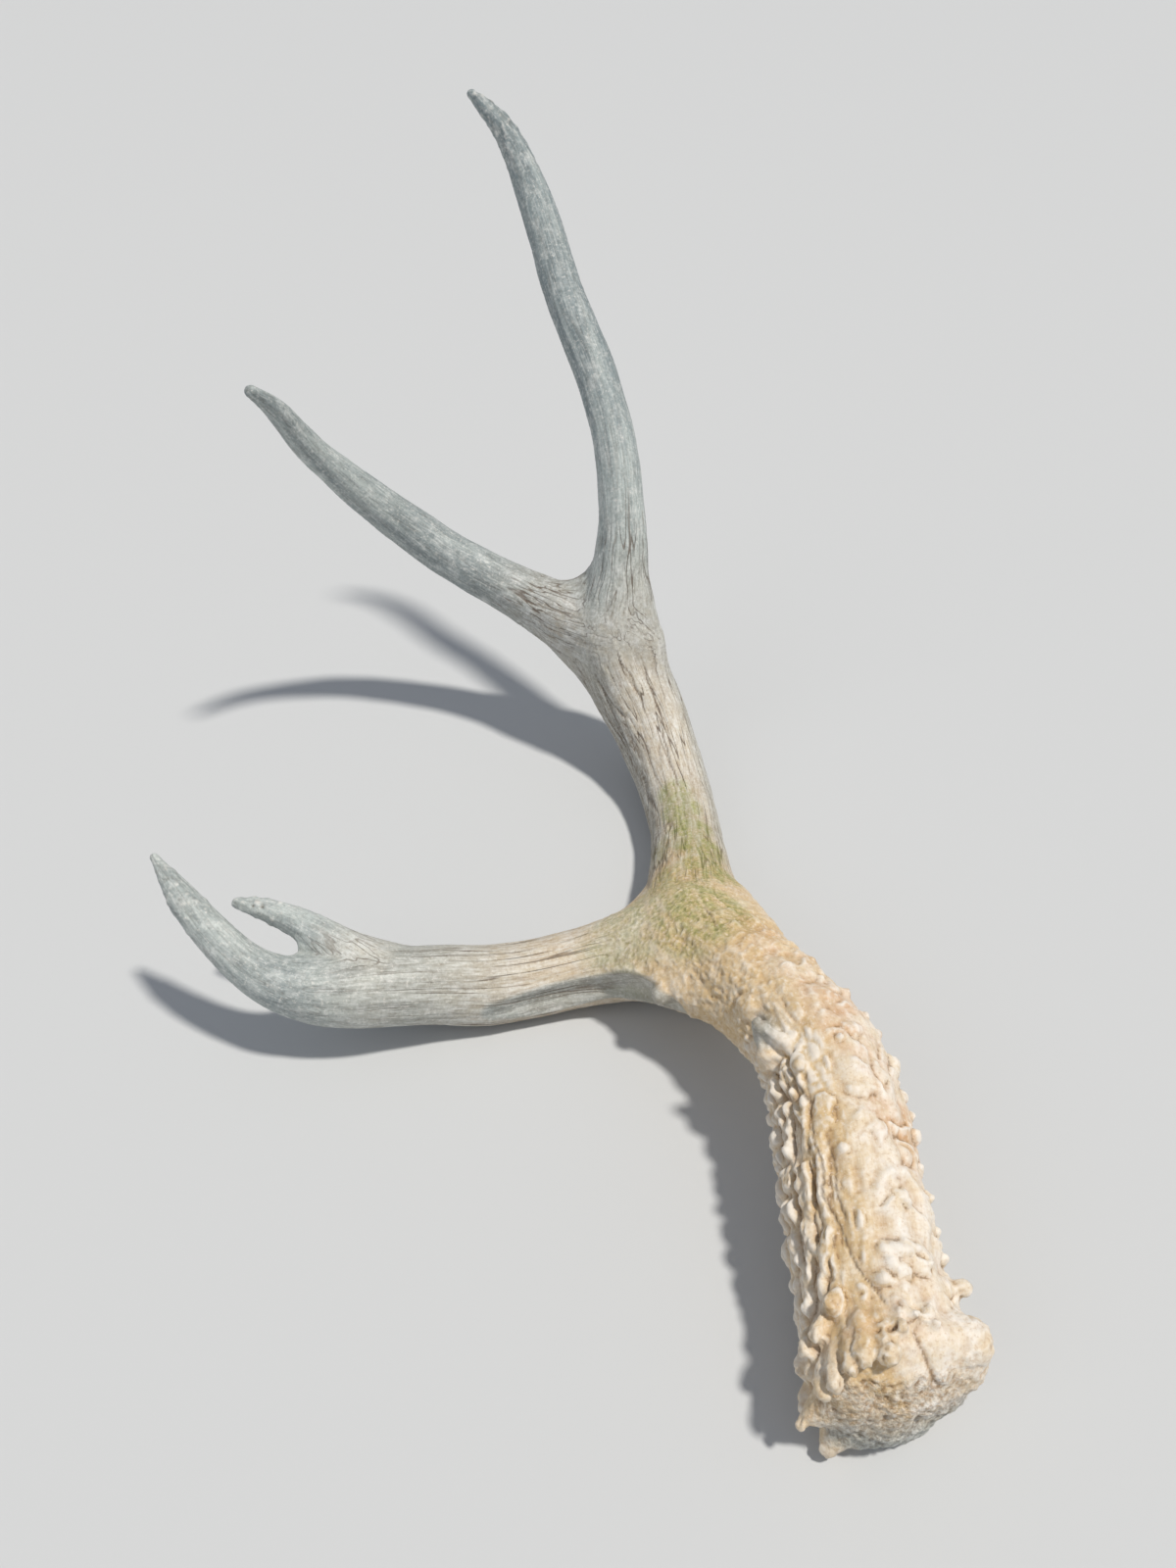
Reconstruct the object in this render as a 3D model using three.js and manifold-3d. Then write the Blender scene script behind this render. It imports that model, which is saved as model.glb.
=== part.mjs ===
// A mule deer's antler, shed and weathered, lying on the outer side of its beam.
// Millimetres, +Z up. The pearled base points to -Y and the rear fork rises towards +Y.
// The origin is on the ground below the middle of its bounding box.
import * as THREE from 'three'
import { mergeVertices } from 'three/addons/utils/BufferGeometryUtils.js'
import Module from 'manifold-3d'

const wasm = await Module()
wasm.setup()

// Driving dimensions.
const SEAM = 0.3 // gap between two pieces that meet at a fork
const REST = 0.45 // how deep the worn contact spots are flattened
const BURR_RADIUS = 24.5 // burr, without its pearls
const SEAL_BULGE = 8 // how far the seal stands out of the burr
const BURR_LOBES = 7 // swellings round the burr
const LOBE_HEIGHT = 1.6
const RIDGES = 9 // lengthwise ridges on the pearled beam
const RIDGE_HEIGHT = 0.7

// Each branch is a row of stations along its middle: x, y, z and the radius there.
const BASE_BEAM = [
  [104.5, -212, 24.6, BURR_RADIUS],
  [103, -203.5, 23, 23.4],
  [102.5, -193, 25.4, 22.6],
  [101, -174, 30, 21.4],
  [100, -144, 36, 21.2],
  [98, -119, 40, 20],
  [90, -99, 40.5, 18.8],
  [76, -75, 36.5, 19.4],
  [63, -52, 30, 19.6],
  [58, -39, 26, 12],
]
const REAR_BEAM = [
  [68, -71, 37, 15],
  [63, -52, 30, 19.6],
  [64, -11, 19.4, 17.2],
  [65, 27, 14.6, 14.9],
  [60, 63, 18.6, 16],
  [51, 90, 31, 18],
  [40, 106, 48, 19.6],
  [34, 113, 66, 19],
  [33, 116, 76, 13],
]
const TALL_TINE = [
  [36, 109, 55, 15],
  [34, 113, 66, 18.8],
  [36.5, 116, 85, 13.8],
  [38, 124, 112, 10.5],
  [35, 139, 142, 9.4],
  [26, 158, 168, 9],
  [13.5, 177, 193, 8.8],
  [3.5, 197, 219, 7.8],
  [-4, 208, 236, 6.8],
  [-13, 215, 253, 5.2],
  [-21, 217, 261, 3.9],
  [-27.5, 217.5, 267.5, 1.9],
]
const LOW_TINE = [
  [42, 110, 62, 12],
  [32, 113, 64, 19],
  [19, 119, 65, 16.8],
  [-8, 134, 71.6, 12.4],
  [-43, 144, 88, 10.7],
  [-72, 144, 112, 9.2],
  [-96, 132, 142.5, 6.4],
  [-105.5, 118.5, 166, 4.7],
  [-111, 107.5, 177, 2.8],
]
const FRONT_BEAM = [
  [74, -55, 37, 12],
  [60, -51, 29, 19.4],
  [45, -50, 22.5, 17.8],
  [26, -50.5, 16.8, 14.9],
  [4, -55, 14, 14.4],
  [-16, -60, 15.4, 14.6],
  [-36, -65, 21, 14.5],
  [-56, -71, 26, 14],
  [-74, -75, 29, 12.2],
  [-86, -76, 34, 9.4],
]
const LONG_TINE = [
  [-60, -72, 27, 12],
  [-74, -75, 29, 12.2],
  [-86, -76, 34, 9.4],
  [-96, -73.5, 40, 7.6],
  [-109, -67, 51.5, 6.4],
  [-122, -57, 65, 4.2],
  [-128.5, -51, 72, 1.8],
]
const SHORT_TINE = [
  [-38, -68, 22, 9],
  [-55, -67.5, 29, 11.6],
  [-67.5, -61.5, 36, 8.6],
  [-79, -55, 41.5, 5.6],
  [-94, -49.5, 44.2, 4],
  [-103.5, -47, 44.5, 2.3],
]
const BROW_NUB = [
  [92, -112, 46, 8],
  [83, -113, 54, 6.4],
  [75, -112, 60, 3.6],
]
const UPPER_PRONG = [
  [86, -209, 21.5, 6.5],
  [81, -215, 18, 4.6],
  [76.5, -219, 15, 2],
]
const LOWER_PRONG = [
  [93, -209, 10, 6.5],
  [89.5, -214.5, 7, 4.2],
  [86.5, -218.8, 4.6, 2.4],
]
const OUTER_LOBE = [
  [110, -201, 30, 11],
  [117.5, -202, 33.6, 9.8],
  [124, -202.5, 36.6, 7],
  [128.4, -202.7, 38.4, 3.8],
]

// The seams at each fork: its middle, and a point a little way along each branch that leaves it.
const MAIN_FORK = { at: [60, -54, 29], base: [88, -97, 40], rear: [65, 1, 18], front: [4, -55, 14] }
const REAR_FORK = { at: [33, 114, 67], beam: [51, 89, 30], tall: [38, 124, 115], low: [-8, 134, 72] }
const FRONT_FORK = { at: [-70, -72, 30], beam: [-36, -65, 21], long: [-98, -74, 41], short: [-86, -52, 44] }

const vector = ([x, y, z]) => new THREE.Vector3(x, y, z)

// A closed tube through the stations. swell(u, angle) adds height to the surface; u runs from 0 to 1.
function tube(stations, around, along, swell = () => 0, startBulge = 1, endBulge = 1) {
  const path = new THREE.CatmullRomCurve3(stations.map(vector), false, 'catmullrom')
  const girths = stations.map((station, i) => new THREE.Vector3(station[3], i, 0))
  const girth = new THREE.CatmullRomCurve3(girths, false, 'catmullrom')
  const frames = path.computeFrenetFrames(along, false)
  const points = []
  for (let i = 0; i <= along; i++) {
    const u = i / along
    const middle = path.getPointAt(u)
    const radius = girth.getPoint(path.getUtoTmapping(u)).x
    for (let j = 0; j < around; j++) {
      const angle = (2 * Math.PI * j) / around
      const out = frames.normals[i].clone().multiplyScalar(Math.cos(angle))
      out.addScaledVector(frames.binormals[i], Math.sin(angle))
      points.push(middle.clone().addScaledVector(out, radius + swell(u, angle)))
    }
  }
  points.push(path.getPointAt(0).addScaledVector(frames.tangents[0], -startBulge))
  points.push(path.getPointAt(1).addScaledVector(frames.tangents[along], endBulge))
  const start = points.length - 2
  const end = points.length - 1
  const faces = []
  for (let j = 0; j < around; j++) {
    const next = (j + 1) % around
    for (let i = 0; i < along; i++) {
      const here = i * around
      const beyond = here + around
      faces.push(here + j, here + next, beyond + next)
      faces.push(here + j, beyond + next, beyond + j)
    }
    faces.push(start, next, j)
    faces.push(end, along * around + j, along * around + next)
  }
  const geometry = new THREE.BufferGeometry().setFromPoints(points)
  geometry.setIndex(faces)
  return geometry
}

// A three.js geometry as a solid that can be joined and cut.
function solid(geometry) {
  const merged = mergeVertices(geometry, 1e-4)
  const mesh = new wasm.Mesh({
    numProp: 3,
    vertProperties: new Float32Array(merged.attributes.position.array),
    triVerts: new Uint32Array(merged.index.array),
  })
  return new wasm.Manifold(mesh)
}

// Keeps the part of a solid nearer to one branch of a fork than to the other two.
function keepBranch(body, fork, branch) {
  const at = vector(fork.at)
  const mine = vector(fork[branch]).sub(at).normalize()
  const others = Object.keys(fork).filter((name) => name !== 'at' && name !== branch)
  return others.reduce((rest, name) => {
    const other = vector(fork[name]).sub(at).normalize()
    const normal = mine.clone().sub(other).normalize()
    return rest.trimByPlane(normal.toArray(), normal.dot(at) + SEAM / 2)
  }, body)
}

// The largest of the separate bodies a cut leaves.
function largest(body) {
  return body.decompose().reduce((a, b) => (a.volume() > b.volume() ? a : b))
}

function piece(name, body, material) {
  const { vertProperties, triVerts } = largest(body.trimByPlane([0, 0, 1], 0)).getMesh()
  const geometry = new THREE.BufferGeometry()
  geometry.setAttribute('position', new THREE.BufferAttribute(new Float32Array(vertProperties), 3))
  geometry.setIndex(new THREE.BufferAttribute(new Uint32Array(triVerts), 1))
  geometry.computeVertexNormals()
  const mesh = new THREE.Mesh(geometry, material)
  mesh.name = name
  return mesh
}

// The burr swells in lobes at the start of the beam. Ridges run on along it and fade before the fork.
function pearling(u, angle) {
  const burr = Math.exp(-((u - 0.04) ** 2) / 0.0016) * LOBE_HEIGHT * Math.cos(BURR_LOBES * angle)
  const fade = THREE.MathUtils.smoothstep(u, 0.06, 0.15) * (1 - THREE.MathUtils.smoothstep(u, 0.6, 0.8))
  return burr + fade * RIDGE_HEIGHT * Math.cos(RIDGES * angle)
}

// Every branch reaches into the forks at its ends, so the joined bone is whole there before it is cut.
const sunk = (geometry) => solid(geometry.translate(0, 0, -REST))
const base = sunk(tube(BASE_BEAM, 28, 36, pearling, SEAL_BULGE, 3))
const nub = sunk(tube(BROW_NUB, 10, 4, undefined, 1, 2))
const upperProng = sunk(tube(UPPER_PRONG, 10, 4, undefined, 1, 1.2))
const lowerProng = sunk(tube(LOWER_PRONG, 10, 4, undefined, 1, 1.2))
const outerLobe = sunk(tube(OUTER_LOBE, 12, 5, undefined, 1, 1))
const rear = sunk(tube(REAR_BEAM, 22, 26, undefined, 2, 3))
const tall = sunk(tube(TALL_TINE, 16, 32, undefined, 2, 1))
const low = sunk(tube(LOW_TINE, 16, 26, undefined, 2, 0.6))
const front = sunk(tube(FRONT_BEAM, 20, 22, undefined, 2, 3))
const long = sunk(tube(LONG_TINE, 16, 14, undefined, 2, 0.8))
const short = sunk(tube(SHORT_TINE, 14, 10, undefined, 2, 1))

const burrBase = base.add(upperProng).add(lowerProng).add(outerLobe)
const mainFork = burrBase.add(nub).add(rear).add(front)
const rearFork = rear.add(tall).add(low)
const frontFork = front.add(long).add(short)

const pearledBone = new THREE.MeshStandardMaterial({ color: 0xd9c9b4, roughness: 0.75, metalness: 0 })
const beamBone = new THREE.MeshStandardMaterial({ color: 0xcfc5b4, roughness: 0.65, metalness: 0 })
const tineBone = new THREE.MeshStandardMaterial({ color: 0xbdbcb4, roughness: 0.6, metalness: 0 })

const rearBeam = keepBranch(keepBranch(mainFork.add(rearFork), MAIN_FORK, 'rear'), REAR_FORK, 'beam')
const frontBeam = keepBranch(keepBranch(mainFork.add(frontFork), MAIN_FORK, 'front'), FRONT_FORK, 'beam')

const antler = new THREE.Group()
antler.add(piece('base_beam', keepBranch(mainFork, MAIN_FORK, 'base'), pearledBone))
antler.add(piece('rear_beam', rearBeam, beamBone))
antler.add(piece('rear_tall_tine', keepBranch(rearFork, REAR_FORK, 'tall'), tineBone))
antler.add(piece('rear_low_tine', keepBranch(rearFork, REAR_FORK, 'low'), tineBone))
antler.add(piece('front_beam', frontBeam, beamBone))
antler.add(piece('front_long_tine', keepBranch(frontFork, FRONT_FORK, 'long'), tineBone))
antler.add(piece('front_short_tine', keepBranch(frontFork, FRONT_FORK, 'short'), tineBone))

export default antler
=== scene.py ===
# %% [markdown]
# # A shed mule deer antler
#
# A deer antler is one piece of bone that grows in a single summer and drops off in winter. This one has
# lain outside for a while: rain and sun have bleached it, the grooves have kept some soil, and algae have
# turned the main fork green.
#
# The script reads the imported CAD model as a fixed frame, grows a fine skin around the same lines that the
# CAD branches follow, and cuts that skin at the forks, so that each visible piece stands for one CAD
# node. Lengths are written in millimetres and turned to Blender's metres in one place.

import math

import bpy
import numpy as np
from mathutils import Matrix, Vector


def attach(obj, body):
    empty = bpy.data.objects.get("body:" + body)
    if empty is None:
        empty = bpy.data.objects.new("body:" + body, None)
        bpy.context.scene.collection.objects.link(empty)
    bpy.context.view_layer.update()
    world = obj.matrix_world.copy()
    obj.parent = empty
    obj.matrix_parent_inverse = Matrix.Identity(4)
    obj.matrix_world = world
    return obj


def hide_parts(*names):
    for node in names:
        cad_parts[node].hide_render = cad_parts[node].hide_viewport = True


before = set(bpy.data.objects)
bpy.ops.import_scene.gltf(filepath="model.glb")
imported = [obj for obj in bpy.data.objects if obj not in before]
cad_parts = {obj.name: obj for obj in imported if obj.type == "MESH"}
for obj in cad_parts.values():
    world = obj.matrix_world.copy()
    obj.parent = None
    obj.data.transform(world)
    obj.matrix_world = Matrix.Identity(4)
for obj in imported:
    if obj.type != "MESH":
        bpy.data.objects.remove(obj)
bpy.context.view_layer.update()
MM = 0.001
VOXEL = 0.62  # side of the skin's small squares, mm
COARSE_VOXEL = 1.6  # the same on the first, coarse skin

# %% [markdown]
# ## The four limbs
#
# An antler looks complicated, but it is made of a few long tapering limbs that flow into each other. Here
# the spine runs from the seal, where the antler sat on the skull, along the beam and up the tall tine.
# The front limb leaves it at the main fork, and a smaller tine leaves each of the two. A limb is a row of
# stations: the middle of the section and its radius. Reading lines off a real antler like this is quicker
# than sculpting, and any station can be corrected later without touching its neighbours.

# %% Stations of each limb: x, y, z, radius
SPINE = [
    (104.5, -212, 24.6, 24.5),
    (103, -203.5, 23, 23.4),
    (101.9, -193, 25.2, 21.9),
    (100.8, -174, 30, 20.9),
    (100, -144, 36, 20.8),
    (98, -119, 40, 19.6),
    (90, -99, 40.5, 18.6),
    (76, -75, 36.5, 19.2),
    (63, -52, 30, 19.6),
    (64, -11, 19.4, 17.2),
    (65, 27, 14.6, 14.9),
    (60, 63, 18.6, 16),
    (51, 90, 31, 18),
    (40, 106, 48, 19.4),
    (34, 113, 66, 18.6),
    (36.5, 116, 85, 13.8),
    (38, 124, 112, 10.5),
    (35, 139, 142, 9.4),
    (26, 158, 168, 9),
    (13.5, 177, 193, 8.8),
    (3.5, 197, 219, 7.8),
    (-4, 208, 236, 6.8),
    (-13, 215, 253, 5.2),
    (-20.6, 217, 260.4, 3.9),
    (-26.2, 217.4, 265.6, 1.9),
]
FRONT = [
    (60, -51, 29, 19.0),
    (45, -50, 22.5, 17.8),
    (26, -50.5, 16.8, 14.9),
    (4, -55, 14, 14.4),
    (-16, -60, 15.4, 14.6),
    (-36, -65, 21, 14.5),
    (-56, -71, 26, 14),
    (-74, -75, 29, 12.2),
    (-86, -76, 34, 9.4),
    (-96, -73.5, 40, 7.6),
    (-109, -67, 51.5, 6.4),
    (-121.4, -57.4, 64.4, 4.2),
    (-127.0, -52.2, 70.6, 1.8),
]
LOW_TINE = [
    (32, 113, 64, 18.6),
    (19, 119, 65, 16.8),
    (-8, 134, 71.6, 12.4),
    (-43, 144, 88, 10.7),
    (-72, 144, 112, 9.2),
    (-96, 132, 142.5, 6.4),
    (-105.5, 118.5, 166, 4.7),
    (-111, 107.5, 177, 2.8),
]
SHORT_TINE = [
    (-55, -67.5, 29, 11.6),
    (-67.5, -61.5, 36, 8.6),
    (-79, -55, 41.5, 5.6),
    (-94, -49.5, 44.2, 4),
    (-103.5, -47, 44.5, 2.3),
]


# %% A smooth line through the stations, one sample each millimetre
EVENING = 6  # mm of line over which corners are evened out


def grow_line(stations):
    knots = np.array(stations, float)
    knots = np.vstack([2 * knots[0] - knots[1], knots, 2 * knots[-1] - knots[-2]])
    pieces = []
    for before, here, beyond, after in zip(knots, knots[1:], knots[2:], knots[3:]):
        steps = max(2, int(np.linalg.norm(beyond[:3] - here[:3]) * 3))
        t = np.linspace(0, 1, steps, endpoint=False)[:, None]
        bend = (beyond - before) * t + (2 * before - 5 * here + 4 * beyond - after) * t**2
        pieces.append(here + 0.5 * (bend + (3 * here - before - 3 * beyond + after) * t**3))
    fine = np.vstack(pieces + [knots[-2:-1]])
    run = np.r_[0, np.cumsum(np.linalg.norm(np.diff(fine[:, :3], axis=0), axis=1))]
    along = np.linspace(0, run[-1], int(run[-1]) + 1)
    samples = np.stack([np.interp(along, run, fine[:, i]) for i in range(4)], 1)
    pad = 3 * EVENING
    before = samples[0] - (samples[pad:0:-1] - samples[0])
    after = samples[-1] - (samples[-2 : -pad - 2 : -1] - samples[-1])
    window = np.exp(-0.5 * (np.arange(-pad, pad + 1) / EVENING) ** 2)
    window /= window.sum()
    padded = np.vstack([before, samples, after])
    samples = np.stack([np.convolve(padded[:, i], window, "valid") for i in range(4)], 1)
    middle = samples[:, :3]
    forward = np.gradient(middle, axis=0)
    forward /= np.linalg.norm(forward, axis=1)[:, None]
    top = np.zeros_like(middle)
    side = np.array([0, 0, 1.0])
    for i, ahead in enumerate(forward):
        side = side - (side @ ahead) * ahead
        side = side / np.linalg.norm(side)
        top[i] = side
    return {
        "middle": middle,
        "radius": samples[:, 3],
        "along": along,
        "forward": forward,
        "top": top,
        "right": np.cross(forward, top),
    }


# Under the root of the front limb the bone is hollowed by a round trough, which is a row of stations too
TROUGH = grow_line([
    (-8, -80, 16, 7.5),
    (10, -74, 16, 9),
    (26, -73, 19.5, 9.8),
    (33, -74.5, 22, 10),
    (41, -79.3, 26, 10.4),
    (47.5, -85.5, 26.5, 8.6),
])
LIMBS = {
    "spine": grow_line(SPINE),
    "front": grow_line(FRONT),
    "low_tine": grow_line(LOW_TINE),
    "short_tine": grow_line(SHORT_TINE),
}
for name, limb in LIMBS.items():
    print(f"{name}: {limb['along'][-1]:.0f} mm long")

# %% [markdown]
# ## Prongs and knobs
#
# Old antlers grow extra points round the burr, and this one has two prongs, a stub where a brow tine
# would be, and knobs that stand out of the beam's outline or lean over the edge of the burr. Each is a
# short stalk from one ball to a smaller one. A stalk can lean over and overhang, which a bump pushed
# straight out of the beam can't.

# %% Stalks: start, radius, end, radius, how softly it joins
STALKS = [
    ((88, -210, 22), 7.5, (79.3, -216.6, 17.3), 2.0, 5),  # long prong of the burr
    ((92, -211, 10), 6, (87.6, -217.2, 5.6), 2.4, 4),  # short prong beside it
    ((116, -203, 33), 9, (122.2, -204.5, 36.4), 6.4, 4),  # smooth lobe on the far side of the burr
    ((116, -205, 28), 9, (122.6, -206.5, 29), 5.6, 4),  # its lower half
    ((118, -189.5, 33), 4.2, (125.4, -188.8, 35.4), 2.4, 2.5),  # knob above the lobe
    ((82.5, -114, 44), 7.4, (75.9, -114.8, 57.8), 1.9, 1.6),  # stub of the brow tine
    ((77.6, -115.6, 56.6), 1.7, (85, -120.5, 54.2), 2.6, 1.4),  # pale ridge that runs down from it
    ((83, -120, 42), 6, (79, -119.5, 49), 3.8, 2),  # boss below the stub
    ((60, -75, 34), 7, (48.2, -80.4, 32.6), 3.3, 3.2),  # corner where the ledge of the front limb ends
]


def on_beam(place, degrees, height):
    """A point by its place along the spine (below zero: before the burr), its degrees and its height."""
    limb = LIMBS["spine"]
    i = int(max(place, 0))
    turn = math.radians(degrees)
    out = limb["top"][i] * math.cos(turn) + limb["right"][i] * math.sin(turn)
    return limb["middle"][i] + out * (limb["radius"][i] + height) + limb["forward"][i] * min(place, 0)


# Knobs that lean over: place, degrees, height and radius of the foot, then of the head, then how softly
# they join. Most of them hang over the burr, a few stand on the beam
LEANING = [
    (14, -24, -1.2, 3.1, -2, -30, -0.1, 2.4, 1.8),
    (8, -37, -1, 2.3, -3, -40, -0.4, 1.8, 1.6),
    (13, -13, -1.4, 2.0, -3, -15, -1.4, 3.0, 2.4),
    (11, -3, -1.2, 2.0, 2.5, -2, 0.6, 1.8, 1.4),
    (11, 7, -1, 2.4, 6, 10, 0.9, 2.1, 1.8),
    (18, 3, -1, 2.4, 15, 3, 1.2, 1.7, 1.6),
    (16, 19, -1, 2.2, 13, 20, 0.8, 1.9, 1.6),
    (6, 18, -1, 2.0, 3.5, 20, 0.5, 1.5, 1.4),
    (11, -49, -1.4, 2.6, -3.5, -54, -0.2, 1.9, 1.5),
    (13, -60, -1.8, 2.4, -2, -66, -0.4, 2.0, 1.4),
    (16, -73, -2.4, 2.6, 5, -75, -1.0, 2.2, 1.4),
    (20, -86, -2.0, 2.6, 9, -88, -0.6, 2.2, 1.4),
    (20, -66, -1.2, 2.2, 11, -68, 1.5, 1.8, 1.4),
    (14, -150, -1, 3.0, 8, -152, 1.0, 2.4, 1.6),
    (13, -120, -1, 3.0, 7, -121, 1.3, 2.4, 1.6),
    (15, 165, -1, 3.0, 9, 163, 0.8, 2.4, 1.6),
    (111, 52, -2, 3.8, 111, 55, 1.8, 1.1, 2.5),
    (126, 46, -2, 3.2, 125, 49, 1.0, 1.1, 2.5),
    (98, 61, -2, 3.0, 98, 63, 1.2, 1.1, 2.5),
    (90, -36, -1.5, 3.0, 88, -36, 1.9, 1.7, 2.0),
    (22, -52, -1.2, 2.2, 13, -55, 1.9, 1.9, 1.4),
    (24, -40, -1, 2.6, 20, -41, 1.7, 2.0, 1.6),
]
for foot, foot_turn, foot_up, foot_size, head, head_turn, head_up, head_size, soft in LEANING:
    lower = on_beam(foot, foot_turn, foot_up)
    upper = on_beam(head, head_turn, head_up)
    STALKS.append((lower, foot_size, upper, head_size, soft))
STALKS = [(np.array(a, float), ra, np.array(b, float), rb, soft) for a, ra, b, rb, soft in STALKS]
print(len(STALKS), "stalks")

# %% [markdown]
# ## How far a point is from the bone
#
# The skin is found by asking, for any point in space, how far it is from the bone. For one limb that is
# the distance to its middle line less the radius there. Two limbs are joined with a smooth minimum, which
# fills the crotch between them with a rounded web. The web is kept in the plane of the fork, because a
# real fork is broad and flat, and not swollen on its two sides. The seal closes the open end of the spine
# with a dome, the trough is taken away with the same smooth join, and the stalks come last.

# %% Forks: where they are, a point on the way of each branch, and how round the crotch is
FORKS = {
    "main": (
        (60, -54, 29),
        {"base_beam": (88, -97, 40), "rear_beam": (65, 1, 18), "front_beam": (4, -55, 14)},
    ),
    "rear": (
        (33, 114, 67),
        {"rear_beam": (51, 89, 30), "rear_tall_tine": (38, 124, 115), "rear_low_tine": (-8, 134, 72)},
    ),
    "front": (
        (-70, -72, 30),
        {
            "front_beam": (-36, -65, 21),
            "front_long_tine": (-98, -74, 41),
            "front_short_tine": (-86, -52, 44),
        },
    ),
}
CROTCH = {"main": 34, "rear": 22, "front": 10}  # width of the blend, mm
SEAL_RADIUS = SPINE[0][3]
SEAL_BULGE = 7.2  # the seal is a shallow dome
SEAL_RIM = 5  # how softly it turns over into the burr


# %% Small helpers
def unit(v):
    return v / np.maximum(np.linalg.norm(v, axis=-1, keepdims=True), 1e-9)


def fork_plane(name):
    middle, ways = FORKS[name]
    a, b, c = [unit(np.array(way, float) - np.array(middle, float)) for way in ways.values()]
    return unit(np.cross(b - a, c - a))


def smoothstep(x, low, high):
    """From 0 below the low limit to 1 above the high one."""
    t = np.clip((x - low) / (high - low), 0, 1)
    return t * t * (3 - 2 * t)


def until(x, low, high):
    """From 1 below the low limit to 0 above the high one."""
    return 1 - smoothstep(x, low, high)


def bell(x, width):
    return np.exp(-((x / width) ** 2))


# %% Distance from one limb
def place_on(points, limb):
    """Each point's distance from the limb's skin, way out, place along it, angle round it, and radius."""
    middle = limb["middle"]
    nearest = np.empty(len(points), int)
    square = (middle**2).sum(1)
    at_once = 20000  # points, to save memory
    for start in range(0, len(points), at_once):
        part = slice(start, start + at_once)
        nearest[part] = (square - 2 * points[part] @ middle.T).argmin(1)
    away = points - middle[nearest]
    ahead = (away * limb["forward"][nearest]).sum(1)
    along = limb["along"][nearest] + ahead
    away = away - limb["forward"][nearest] * np.clip(ahead, -0.6, 0.6)[:, None]
    radius = np.interp(along, limb["along"], limb["radius"])
    reach = np.linalg.norm(away, axis=1)
    x = (away * limb["right"][nearest]).sum(1)
    y = (away * limb["top"][nearest]).sum(1)
    return reach - radius, unit(away), along, np.arctan2(x, y), radius


# %% Soft joins
def soft_join(a, way_a, b, way_b, width):
    """Smooth minimum of two distances. Also gives the share of the second one."""
    share = np.clip(0.5 + 0.5 * (a - b) / width, 0, 1)
    distance = a + (b - a) * share - width * share * (1 - share)
    return distance, way_a + (way_b - way_a) * share[:, None], share


def flat_join(a, way_a, b, way_b, fork):
    _, way, _ = soft_join(a, way_a, b, way_b, CROTCH[fork])
    out_of_plane = np.abs(unit(way) @ fork_plane(fork))
    width = CROTCH[fork] * (1 - 0.85 * smoothstep(out_of_plane, 0.1, 0.9))
    return soft_join(a, way_a, b, way_b, width)


print({name: fork_plane(name).round(2).tolist() for name in FORKS})


# %% The seal's dome and the stalks
def dome(points, away, out, along):
    """Closes the spine with the seal, a shallow dome, in place of the limb's open end."""
    end = LIMBS["spine"]
    from_end = points - end["middle"][0]
    lateral = from_end - (from_end @ end["forward"][0])[:, None] * end["forward"][0]
    off_centre = np.linalg.norm(lateral, axis=1)
    bulge = SEAL_BULGE * (1 - (off_centre / SEAL_RADIUS) ** 2)
    before_seal = -(from_end @ end["forward"][0]) - bulge
    side_away = np.where(along < 0, off_centre - SEAL_RADIUS, away)
    share = np.clip(0.5 + 0.5 * (before_seal - side_away) / SEAL_RIM, 0, 1)
    capped = side_away + (before_seal - side_away) * share + SEAL_RIM * share * (1 - share)
    capped_out = unit(np.where((along < 0)[:, None], lateral, out)) * (1 - share)[:, None]
    capped_out = capped_out - end["forward"][0] * share[:, None]
    is_end = along < 6
    return np.where(is_end, capped, away), np.where(is_end[:, None], capped_out, out)


def join_stalks(points, away, out):
    """Joins the stalks to the bone. Also says where their upper parts are."""
    knob = np.zeros(len(points))
    for start, r_start, end, r_end, soft in STALKS:
        near = np.linalg.norm(points - (start + end) / 2, axis=1) < 30
        stalk = end - start
        t = np.clip(((points[near] - start) @ stalk) / (stalk @ stalk), 0, 1)
        arm = points[near] - start - t[:, None] * stalk
        ball = np.linalg.norm(arm, axis=1) - (r_start + (r_end - r_start) * t)
        away[near], out[near], share = soft_join(away[near], out[near], ball, unit(arm), soft)
        knob[near] = np.maximum(knob[near], share * smoothstep(t, 0.2, 0.8))
    return away, out, knob


# %% The whole bone
def bone(points):
    """Distance from the whole antler's skin, the way out, and where each point lies on the limbs."""
    found = {name: place_on(points, limb) for name, limb in LIMBS.items()}
    away, out, along = found["spine"][:3]
    away, out = dome(points, away, out, along)
    front, front_out, short_share = flat_join(*found["front"][:2], *found["short_tine"][:2], "front")
    away, out, front_share = flat_join(away, out, front, front_out, "main")
    away, out, low_share = flat_join(away, out, *found["low_tine"][:2], "rear")
    trough, trough_out = place_on(points, TROUGH)[:2]
    kept, out, _ = soft_join(-away, out, trough, -trough_out, 1.4)
    away, out, knob = join_stalks(points, -kept, out)
    shares = {
        "spine": (1 - front_share) * (1 - low_share),
        "front": front_share * (1 - short_share),
        "short_tine": front_share * short_share,
        "low_tine": low_share * (1 - front_share),
    }
    return away, out, found, shares, knob


def settle(points, turns):
    """Moves points onto the skin along the way out."""
    for _ in range(turns):
        away, out, _, _, _ = bone(points)
        slope = np.maximum((out**2).sum(1), 0.35)
        points = points - np.clip(away / slope, -3, 3)[:, None] * out
    return points


probe = bone(np.array([[100.0, -144, 60], [0, 0, 0]]))[0]
print("distance from the bone at two points", probe.round(1), "mm")

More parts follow.
